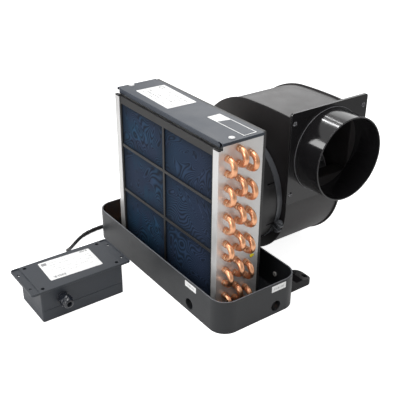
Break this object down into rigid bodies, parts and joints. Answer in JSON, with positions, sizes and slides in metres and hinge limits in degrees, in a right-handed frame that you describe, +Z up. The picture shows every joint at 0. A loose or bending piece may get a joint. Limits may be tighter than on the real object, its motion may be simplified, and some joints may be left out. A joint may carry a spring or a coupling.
{
  "type": "marine air conditioner evaporator",
  "caption": "Finned copper coil standing in a drain pan, with a slide-up air filter, a round shroud, a band-clamped scroll blower with a duct collar, and a wired control box.",
  "frame": {"origin": "middle of the drain pan's underside, on the surface that the unit stands on", "axes": "+X along the coil towards the return bends and the duct outlet, +Y from the filter side to the blower side, +Z up"},
  "size_m": [0.4291, 0.6135, 0.3158],
  "materials": {
    "black_steel": "blackened steel",
    "board_green": "solder mask",
    "box_plastic": "fine textured moulding",
    "brass": "machined brass",
    "copper": "bright drawn copper",
    "cover_black": "satin powder coat",
    "filter_plastic": "satin moulded plastic",
    "filter_weave": "fine woven nylon",
    "fin_aluminium": "thin rolled fins",
    "galvanised_sheet": "galvanised sheet",
    "gland_nylon": "smooth nylon",
    "gloss_black": "polished moulding",
    "motor_paint": "satin enamel",
    "pan_plastic": "satin moulded plastic",
    "part_plastic": "moulded component cases",
    "plated_steel": "zinc plated",
    "rubber": "soft rubber",
    "scroll_black": "satin black",
    "wheel_steel": "zinc coated sheet",
    "white_nylon": "moulded nylon"
  },
  "bodies": {
    "evaporator": {"drain_pan": "pan_plastic", "drain_inserts": "pan_plastic", "rear_foot_right": "pan_plastic", "rear_foot_left": "pan_plastic", "foot_screws": "plated_steel", "coil_pads": "rubber", "end_plate_right": "galvanised_sheet", "end_plate_left": "galvanised_sheet", "fin_pack": "fin_aluminium", "coil_tubes": "copper", "return_bends": "copper", "suction_line": "copper", "liquid_line": "copper", "suction_fitting": "brass", "liquid_fitting": "brass", "top_cover": "cover_black", "cover_rivets": "white_nylon", "shroud": "scroll_black", "shroud_screws": "plated_steel", "clamp_band": "black_steel", "clamp_bolt": "black_steel", "clamp_nut": "black_steel", "box_base": "box_plastic", "box_cover": "box_plastic", "case_screws": "plated_steel", "power_gland_body": "gland_nylon", "power_gland_nut": "gland_nylon", "cable_gland_body": "gland_nylon", "cable_gland_nut": "gland_nylon", "gland_locknuts": "gland_nylon", "circuit_board": "board_green", "board_screws": "plated_steel", "run_capacitor": "part_plastic", "fan_relay": "part_plastic", "terminal_block": "part_plastic", "motor_cable": "rubber", "cable_grommet": "rubber"},
    "filter": {"filter_frame": "filter_plastic", "filter_mesh": "filter_weave"},
    "blower": {"inlet_ring": "scroll_black", "scroll_front": "scroll_black", "scroll_back": "scroll_black", "scroll_band": "scroll_black", "outlet_frame": "scroll_black", "duct_flange": "gloss_black", "flange_screws": "black_steel", "motor_stator": "wheel_steel", "motor_bearings": "plated_steel", "motor_housing": "motor_paint", "motor_cap": "motor_paint", "motor_gasket": "rubber", "motor_screws": "plated_steel"},
    "wheel": {"impeller_disc": "wheel_steel", "impeller_rings": "wheel_steel", "impeller_blades": "wheel_steel", "motor_shaft": "plated_steel", "motor_rotor": "wheel_steel"}
  },
  "joints": [
    {"name": "blower_swivel", "type": "hinge", "parent": "evaporator", "child": "blower", "pos_m": [-0.004, 0.16, 0.135], "axis": [0, -1, 0], "range_deg": [-45, 12]},
    {"name": "filter_slide", "type": "slide", "parent": "evaporator", "child": "filter", "axis": [0, 0, 1], "range_m": [0, 0.294]},
    {"name": "impeller_spin", "type": "hinge", "parent": "blower", "child": "wheel", "pos_m": [-0.004, 0.2, 0.135], "axis": [0, 1, 0], "continuous": true}
  ]
}
